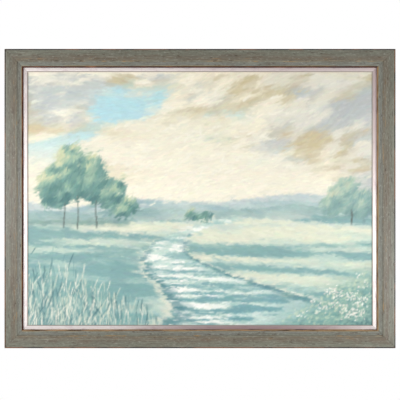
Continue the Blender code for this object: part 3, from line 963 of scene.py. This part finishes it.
def sketch_view(easel):
    """The whole view as colours, brush angles, where the small brush goes, and where water is."""
    x, y = easel.across, easel.down
    air = sketch_sky(easel)
    view = air.copy()
    angles = -0.3 + 0.9 * (easel.clouds(300, 200, 2) - 0.5)
    detail = np.full_like(x, 0.25)
    for level, rise, bumps, dark, light in HILLS:
        line = easel.skyline(level, rise, bumps)
        inside = smooth(-0.003, 0.003, y - line)
        slope = graded(easel.clouds(110, 40, 3, 0.5), ((0.3, dark), (0.7, light)))
        slope = blend(slope, "#DCDDD0", 0.55 * smooth(line, line + 0.07, y))
        view = blend(view, slope, inside)
        angles = np.where(inside > 0.5, 0.25 * np.sin(9 * x + 3 * level), angles)
        detail = np.maximum(detail, np.exp(-(((y - line) / 0.012) ** 2)))

    # The plain, with lit and shadowed bands and tufts. s runs from its far edge to its near one
    s = np.clip((y - HORIZON - 0.015) / (1 - HORIZON - 0.015), 0, 1)
    land = smooth(-0.003, 0.003, y - easel.skyline(HORIZON + 0.022, 0.006, 7))
    field = graded(s, ((0.0, "#C8D5CC"), (0.2, "#C6D5C6"), (0.5, "#B4CDC4"), (1.0, "#A4C3BD")))
    bands = easel.clouds(300, 26, 4, 0.05)
    field = blend(field, "#E4E3CB", 0.8 * smooth(0.5, 0.64, bands) * smooth(1.1, 0.4, s))
    field = blend(field, "#749FA0", 0.8 * smooth(0.5, 0.34, bands))
    tufts = easel.clouds(46, 30, 3)
    field = blend(field, "#739B9B", 0.5 * smooth(0.55, 0.72, tufts) * smooth(0.25, 0.8, s))
    view = blend(view, field, land)
    angles = np.where(land > 0.5, 0.05 + 0.35 * (easel.clouds(200, 90, 2) - 0.5), angles)
    thicket = smooth(0.40, 0.18, (1 - x) + 1.25 * (1 - y) + 0.12 * (tufts - 0.5))
    reeds = smooth(0.52, 0.24, x + 1.4 * (1 - y) + 0.12 * (tufts - 0.5))

    # The river, which bends and widens towards the viewer and mirrors the sky
    bend = 0.66 + 0.04 * s
    bend -= 0.30 * np.sin(math.pi * np.clip(s * 1.15, 0, 1) ** 0.75) * (1 - 0.35 * s)
    half = 0.016 + 0.05 * s + 0.27 * s**2
    wobble = 0.10 * (easel.clouds(120, 22, 3) - 0.5) * (0.25 + s)
    edge = (np.abs(x - bend) + wobble * (0.3 + half)) / half
    river = smooth(1.05, 0.95, edge) * smooth(0.0, 0.02, s)
    row = np.clip(((HORIZON - (y - HORIZON) * 0.95) * easel.rows).astype(int), 0, easel.rows - 1)
    column = np.broadcast_to(np.arange(easel.cols)[None, :], row.shape)
    water = air[row, column] * np.array([0.88, 0.95, 0.95])
    water = blend(water, "#A6C8C8", 0.42 + 0.25 * s)
    ripples = easel.clouds(90, 7, 3)
    shine = smooth(0.9, 0.2, np.abs(x - 0.36) * 2)
    water = blend(water, "#F8F7EF", 0.95 * smooth(0.5, 0.62, ripples) * shine)
    water = blend(water, "#5B8F98", 0.8 * smooth(0.5, 0.36, ripples) * (0.3 + 0.7 * s))
    water = blend(water, "#4E7C84", 0.8 * smooth(0.72, 1.0, edge) * smooth(0.05, 0.3, s))
    view = blend(view, water, river)
    view = blend(view, "#6F9A94", 0.75 * thicket)
    view = blend(view, "#7CA6A2", 0.6 * reeds)
    bank = np.exp(-(((edge - 1.06) / 0.05) ** 2)) * land * smooth(0.03, 0.12, s)
    view = blend(view, "#E4E2D0", 0.8 * bank * (1 - river))
    angles = np.where(river > 0.5, 0.0, angles)
    detail = np.maximum(detail, np.maximum(0.8 * river, 0.9 * bank))

    # The trees, lit from the upper left
    crown = np.full_like(x, -2.0)
    light = np.zeros_like(x)
    for middle_x, middle_y, radius_x, radius_y in CROWNS:
        u, v = (x - middle_x) / radius_x, (y - middle_y) / radius_y
        reach = 1 - np.sqrt(u**2 + v**2)
        crown = np.maximum(crown, reach)
        light = np.where(reach >= crown, -0.6 * u - 0.8 * v, light)
    leaves = smooth(-0.02, 0.10, crown + 0.85 * (easel.clouds(34, 26, 4) - 0.5))
    tone = np.clip(0.45 + 0.35 * light + 1.3 * (easel.clouds(20, 14, 3) - 0.5), 0, 1)
    green = graded(tone, ((0.0, "#557E7D"), (0.4, "#759C93"), (0.75, "#A3BEA6"), (1.0, "#CFD3AF")))
    green = blend(green, "#AFC3C0", 0.38 * (1 - smooth(0.6, 0.3, np.abs(x - 0.17))))
    view = blend(view, green, leaves)
    foot = np.exp(-(((y - 0.592) / 0.012) ** 2)) * smooth(0.33, 0.27, x)
    view = blend(view, "#6A8F8D", 0.75 * foot)
    angles = np.where(leaves > 0.5, -0.9 + 1.2 * (easel.clouds(30, 30, 2) - 0.5), angles)
    detail = np.maximum(detail, 0.9 * leaves)
    return view, angles, detail, river


def paint_accents(easel, view, river):
    """Trunks, sun on the water, lit clouds, grasses and blossom, in single touches."""
    rng = easel.rng
    for foot_x, foot_y, top_y in TRUNKS:
        for part in range(5):
            share = part / 4
            sway = 0.0018 * math.sin(4 * share + foot_x * 40)
            y = foot_y + (top_y - foot_y) * share
            lean = math.pi / 2 + rng.normal(0, 0.06)
            easel.touch(foot_x + sway, y, (24, 5.0 - 1.6 * share), lean, shade("#66736F"), 1.0, 0.1)
    for _ in range(150):
        s = rng.random() ** 0.7
        y = HORIZON + 0.02 + s * (1 - HORIZON - 0.03)
        x = 0.40 - 0.06 * math.sin(3 * s) + rng.normal(0, 0.03 + 0.07 * s)
        column, row = int(np.clip(x, 0, 0.999) * easel.cols), int(y * easel.rows)
        if river[row, column] > 0.6:
            size = (12 + 40 * s * rng.random(), 2.2 + 1.6 * s)
            easel.touch(x, y, size, rng.normal(0, 0.04), shade("#F3F2E8"), 0.7, 0, 1.3)
    for _ in range(160):
        x, y = rng.random(), 0.05 + 0.35 * rng.random()
        if view[int(y * easel.rows), int(x * easel.cols)].mean() > 0.86:
            angle = -0.35 + rng.normal(0, 0.4)
            easel.touch(x, y, (34, 8), angle, shade("#F1EDDD"), 0.7, rng.normal(0, 0.5), 1.3)
    for _ in range(900):
        x, y = abs(rng.normal(0, 0.16)), 1.0 - abs(rng.normal(0, 0.09))
        if x + (1 - y) * 1.1 > 0.42:
            continue
        size = (rng.uniform(26, 62), rng.uniform(2.6, 4.6))
        angle = math.pi / 2 + rng.normal(0.08, 0.22)
        colour = shade(GRASSES[rng.integers(len(GRASSES))])
        easel.touch(x, y, size, angle, colour, 0.85, rng.normal(0, 0.6), 1.2)
    for _ in range(1100):
        x, y = 1.0 - abs(rng.normal(0, 0.11)), 1.0 - abs(rng.normal(0, 0.085))
        out = (1 - x) + (1 - y) * 1.2
        if out > 0.3:
            continue
        size = (rng.uniform(9, 18), rng.uniform(5.5, 9))
        tone = min(len(LEAVES) - 1, int(7 * out + 2.4 * rng.random()))
        colour = shade(LEAVES[tone]) * rng.normal(1.0, 0.03)
        easel.touch(x, y, size, rng.uniform(-1.2, 0.1), colour, 0.5, rng.normal(0, 0.3))
    for _ in range(34):
        x, y = 0.98 - abs(rng.normal(0, 0.085)), 0.96 - abs(rng.normal(0, 0.07))
        for _petal in range(rng.integers(4, 10)):
            colour = shade(PETALS[rng.integers(len(PETALS))])
            at = (x * easel.width + rng.normal(0, 8), y * easel.height + rng.normal(0, 6))
            size = (rng.uniform(5, 9), rng.uniform(3, 5))
            easel.stroke(at, size, rng.uniform(0, math.pi), colour, 0.9, 0, 1.5)


def paint_picture(width, height, cols, rows, seed):
    """Paints the view from big strokes to small ones and gives back the easel."""
    easel = Easel(width, height, cols, rows, seed)
    view, angles, detail, river = sketch_view(easel)
    everywhere = np.ones_like(detail)
    easel.paint[:] = blend(view, "#CBCBBB", 0.25 * everywhere)
    easel.cover(view, everywhere, 1600, (95, 26), angles, 0.22, 0.012, 1.0, 0.5)
    easel.cover(view, 0.35 + detail, 6000, (44, 10.5), angles, 0.2, 0.016, 0.9, 0.75)
    easel.cover(view, 0.05 + detail**1.5, 12000, (19, 5.0), angles, 0.22, 0.02, 0.95, 1.0)
    paint_accents(easel, view, river)
    return easel


def sample(field, across, down):
    """The field's values at these shares of its width and height, between its cells' middles."""
    rows, cols = field.shape[:2]
    i = np.clip(across * cols - 0.5, 0, cols - 1.001)
    j = np.clip(down * rows - 0.5, 0, rows - 1.001)
    i0, j0 = i.astype(int), j.astype(int)
    fi, fj = (i - i0), (j - j0)
    if field.ndim == 3:
        fi, fj = fi[:, None], fj[:, None]
    upper = field[j0, i0] * (1 - fi) + field[j0, i0 + 1] * fi
    lower = field[j0 + 1, i0] * (1 - fi) + field[j0 + 1, i0 + 1] * fi
    return upper * (1 - fj) + lower * fj


def wrapped_sheet(low, high, columns, rows):
    """The canvas as a closed sheet: its fine front, the sides, the edges turned over behind, and its back."""
    size = high - low
    middle = (low + high) / 2
    bm = bmesh.new()
    bmesh.ops.create_grid(bm, x_segments=columns, y_segments=rows, size=0.5)
    for vert in bm.verts:
        vert.co = Vector((middle.x + vert.co.x * size.x, low.y, middle.z + vert.co.y * size.z))
    rim = [edge for edge in bm.edges if edge.is_boundary]
    inner = CANVAS_THICKNESS
    # Each step gives how far the rim has come in from the canvas's outer edge, and its place in depth
    for inset, behind in (
        (0.0, high.y),
        (TURNOVER, high.y),
        (TURNOVER, high.y - inner),
        (inner, high.y - inner),
        (inner, low.y + inner),
    ):
        grown = bmesh.ops.extrude_edge_only(bm, edges=rim)["geom"]
        rim = [item for item in grown if isinstance(item, bmesh.types.BMEdge) and item.is_boundary]
        for vert in (item for item in grown if isinstance(item, bmesh.types.BMVert)):
            # The rim keeps its proportions, so that the turned-over edges meet in mitres at the corners
            x, z = vert.co.x - middle.x, vert.co.z - middle.z
            reach = max(abs(x) * 2 / size.x, abs(z) * 2 / size.z)
            vert.co.x = middle.x + x / reach * (1 - 2 * inset / size.x)
            vert.co.z = middle.z + z / reach * (1 - 2 * inset / size.z)
            vert.co.y = behind
    bmesh.ops.contextual_create(bm, geom=rim)
    bmesh.ops.recalc_face_normals(bm, faces=bm.faces)
    return bm


class PAINTING_OT_add_canvas(Operator):
    """Paints the view with brush strokes and builds the stretched canvas that carries it"""

    bl_idname = "framed_painting.add_canvas"
    bl_label = "Add canvas"

    def execute(self, context):
        look = context.scene.framed_painting.canvas
        low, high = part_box("painted_canvas")
        size = high - low
        bm = wrapped_sheet(low, high, look.columns, look.rows)
        # The front is paint, the sides are primed, and what faces the wall is raw
        materials = (
            oil_paint(),
            cotton_duck("primed_cotton_duck", look.primer, True),
            cotton_duck("raw_cotton_duck", look.cotton, False),
        )
        front_level = low.y + 0.25 * CANVAS_THICKNESS
        back_level = low.y + 0.9 * CANVAS_THICKNESS
        for face in bm.faces:
            if all(vert.co.y < front_level for vert in face.verts):
                face.material_index = 0
            elif len(face.verts) > 4 or all(vert.co.y > back_level for vert in face.verts):
                face.material_index = 2
            else:
                face.material_index = 1
        shade_smooth(bm)
        canvas = show("painted_landscape", bm, materials, "canvas", "painted_canvas")
        mesh = canvas.data
        places = np.zeros(len(mesh.vertices) * 3, np.float32)
        mesh.vertices.foreach_get("co", places)
        places = places.reshape(-1, 3)
        across = (places[:, 0] - low.x) / size.x
        down = (high.z - places[:, 2]) / size.z
        easel = paint_picture(size.x * 1000, size.z * 1000, 2 * look.columns, 2 * look.rows, look.seed)
        # The paint stands up on the front, and thins out where the liner covers it
        border = np.minimum(np.minimum(across, 1 - across) * size.x, np.minimum(down, 1 - down) * size.z)
        relief = sample(easel.relief, across, down) * look.relief * smooth(0.006, 0.010, border)
        places[:, 1] -= np.where(places[:, 1] < front_level, relief, 0.0)
        mesh.vertices.foreach_set("co", places.ravel())
        colours = np.ones((len(places), 4), np.float32)
        colours[:, :3] = linear(np.clip(sample(easel.paint, across, down), 0, 1))
        pulls = np.ones((len(places), 4), np.float32)
        for part, turn in enumerate(PULLS):
            weight = np.abs(np.cos(easel.pull - turn)) ** 4 + 0.02
            pulls[:, part] = sample(weight, across, down)
        pulls[:, :3] /= pulls[:, :3].sum(axis=1, keepdims=True)
        for name, values in ((PAINT, colours), (PULL, pulls)):
            layer = mesh.attributes.new(name, "FLOAT_COLOR", "POINT")
            layer.data.foreach_set("color", values.ravel())
        mesh.update()
        return {"FINISHED"}


class PAINTING_OT_add_staples(Operator):
    """Builds the staples that hold the canvas's turned-over edge to the bars"""

    bl_idname = "framed_painting.add_staples"
    bl_label = "Add staples"

    def execute(self, context):
        low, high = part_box("painted_canvas")
        middle = (low + high) / 2
        points = [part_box(name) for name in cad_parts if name.startswith("framers_point")]
        rng = np.random.default_rng(12)
        template = bmesh.new()
        bmesh.ops.create_cube(template, size=1.0)
        bmesh.ops.scale(template, verts=template.verts, vec=STAPLE)
        shoulders = [
            edge
            for edge in template.edges
            if abs(edge.verts[0].co.z - edge.verts[1].co.z) > 0.001 and edge.verts[0].co.y > 0
        ]
        rounding = {"offset": STAPLE_ROUNDING, "segments": 2, "profile": 0.5, "material": -1}
        bmesh.ops.bevel(template, geom=shoulders, affect="EDGES", **rounding)
        mesh = bpy.data.meshes.new("staple")
        template.to_mesh(mesh)
        template.free()
        bm = bmesh.new()
        for side in SIDES:
            run, across = directions(side)
            half = (high - low)[run] / 2 - STAPLE_CORNER
            count = round(2 * half / STAPLE_SPACING)
            for number in range(count + 1):
                along = middle[run] - half + 2 * half * number / count + rng.normal(0, 0.003)
                inset = STAPLE_INSET + rng.normal(0, 0.0008)
                level = high[across] - inset if side in ("top", "right") else low[across] + inset
                if any(
                    box[0][run] - POINT_CLEAR[0] < along < box[1][run] + POINT_CLEAR[0]
                    and box[0][across] - POINT_CLEAR[1] < level < box[1][across] + POINT_CLEAR[1]
                    for box in points
                ):
                    continue
                place = Vector((0.0, high.y, 0.0))
                place[run] = along
                place[across] = level
                turn = (0.0 if side in LEVEL else math.pi / 2) + rng.normal(0, 0.16)
                start = len(bm.verts)
                bm.from_mesh(mesh)
                bm.verts.ensure_lookup_table()
                matrix = Matrix.Translation(place) @ Matrix.Rotation(turn, 4, "Y")
                bmesh.ops.transform(bm, verts=bm.verts[start:], matrix=matrix)
        bpy.data.meshes.remove(mesh)
        steel = zinc_plated_steel(context.scene.framed_painting.back)
        show("canvas_staples", bm, (steel,), "zinc_steel")
        return {"FINISHED"}


class PAINTING_OT_dress_back(Operator):
    """Gives the stretcher bars their pine and the points, hangers and screws their zinc"""

    bl_idname = "framed_painting.dress_back"
    bl_label = "Dress back"

    def execute(self, context):
        look = context.scene.framed_painting.back
        level = planed_pine("planed_pine_level", look, True)
        upright = planed_pine("planed_pine_upright", look, False)
        steel = bpy.data.materials.get("zinc_plated_steel") or zinc_plated_steel(look)
        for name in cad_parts:
            if name.startswith("stretcher_bar"):
                dress(name, level if name.rsplit("_", 1)[1] in LEVEL else upright)
            elif name.startswith(("framers_point", "keyhole_hanger", "hanger_screw")):
                dress(name, steel)
        return {"FINISHED"}


class PAINTING_OT_set_stage(Operator):
    """Makes the floor, the soft lights and the camera that looks straight at the picture"""

    bl_idname = "framed_painting.set_stage"
    bl_label = "Set stage"

    def execute(self, context):
        scene = context.scene
        look = scene.framed_painting.stage
        low, high = CAD_BOX
        middle = (low + high) / 2
        bm = bmesh.new()
        bmesh.ops.create_circle(bm, cap_ends=True, segments=96, radius=FLOOR_RADIUS)
        bmesh.ops.translate(bm, verts=bm.verts, vec=(0.0, middle.y, middle.z - look.floor_drop))
        place_mesh("studio_floor", bm, (matt_floor(),))

        world = bpy.data.worlds.new("white_studio")
        world.use_nodes = True
        tree = world.node_tree
        behind = add(tree, "SeparateXYZ", {"Vector": add(tree, "TexCoord", out="Generated")}, out="Y")
        feeds = {"Value": behind, "To Min": look.fill, "To Max": look.backdrop}
        feeds["From Min"], feeds["From Max"] = ROOM_TO_BACKDROP
        strength = add(tree, "MapRange", feeds, interpolation_type="SMOOTHSTEP")
        feed(tree, tree.nodes["Background"], {"Color": (1.0, 1.0, 1.0, 1.0), "Strength": strength})
        scene.world = world
        scene.view_settings.view_transform = "Standard"

        for hand, place in SOFTBOXES.items():
            lamp = bpy.data.lights.new(f"softbox_{hand}", "AREA")
            lamp.shape = "RECTANGLE"
            lamp.size, lamp.size_y = SOFTBOX_SIZE
            lamp.energy = getattr(look, f"{hand}_power")
            light = bpy.data.objects.new(f"softbox_{hand}", lamp)
            light.location = middle + Vector(place)
            light.rotation_euler = (middle - light.location).to_track_quat("-Z", "Y").to_euler()
            scene.collection.objects.link(light)

        lens = bpy.data.cameras.new("straight_on")
        lens.lens = look.lens
        lens.clip_end = 100.0
        span = IMAGE_SIDE * look.millimetres_per_pixel / 1000
        distance = span * look.lens / lens.sensor_width
        camera = bpy.data.objects.new("straight_on", lens)
        camera.location = (middle.x, low.y + PICTURE_PLANE - distance, middle.z - look.drop)
        camera.rotation_euler = (math.pi / 2, 0.0, 0.0)
        scene.collection.objects.link(camera)
        scene.camera = camera
        return {"FINISHED"}


class PAINTING_PT_sidebar(Panel):
    """The painting's sizes and colours, and the steps that build it"""

    bl_idname = "PAINTING_PT_sidebar"
    bl_label = "Framed painting"
    bl_space_type = "VIEW_3D"
    bl_region_type = "UI"
    bl_category = "Painting"

    def draw(self, context):
        settings = context.scene.framed_painting
        for title in ("moulding", "liner", "canvas", "back", "stage"):
            box = self.layout.box()
            box.label(text=title.capitalize())
            group = getattr(settings, title)
            for name in group.bl_rna.properties.keys():
                if name not in ("rna_type", "name"):
                    box.prop(group, name)
        for step in STEPS:
            self.layout.operator(step.bl_idname)


GROUPS = (MouldingSettings, LinerSettings, CanvasSettings, BackSettings, StageSettings, PaintingSettings)
STEPS = (
    PAINTING_OT_set_stage,
    PAINTING_OT_add_canvas,
    PAINTING_OT_add_liners,
    PAINTING_OT_add_mouldings,
    PAINTING_OT_add_staples,
    PAINTING_OT_dress_back,
)
CLASSES = (*GROUPS, *STEPS, PAINTING_PT_sidebar)


def register():
    for kind in CLASSES:
        bpy.utils.register_class(kind)
    bpy.types.Scene.framed_painting = PointerProperty(type=PaintingSettings)


def unregister():
    del bpy.types.Scene.framed_painting
    for kind in reversed(CLASSES):
        bpy.utils.unregister_class(kind)


def main():
    """Runs every step in order."""
    register()
    bpy.ops.framed_painting.set_stage()
    bpy.ops.framed_painting.add_canvas()
    bpy.ops.framed_painting.add_liners()
    bpy.ops.framed_painting.add_mouldings()
    bpy.ops.framed_painting.add_staples()
    bpy.ops.framed_painting.dress_back()


if __name__ == "__main__":
    main()
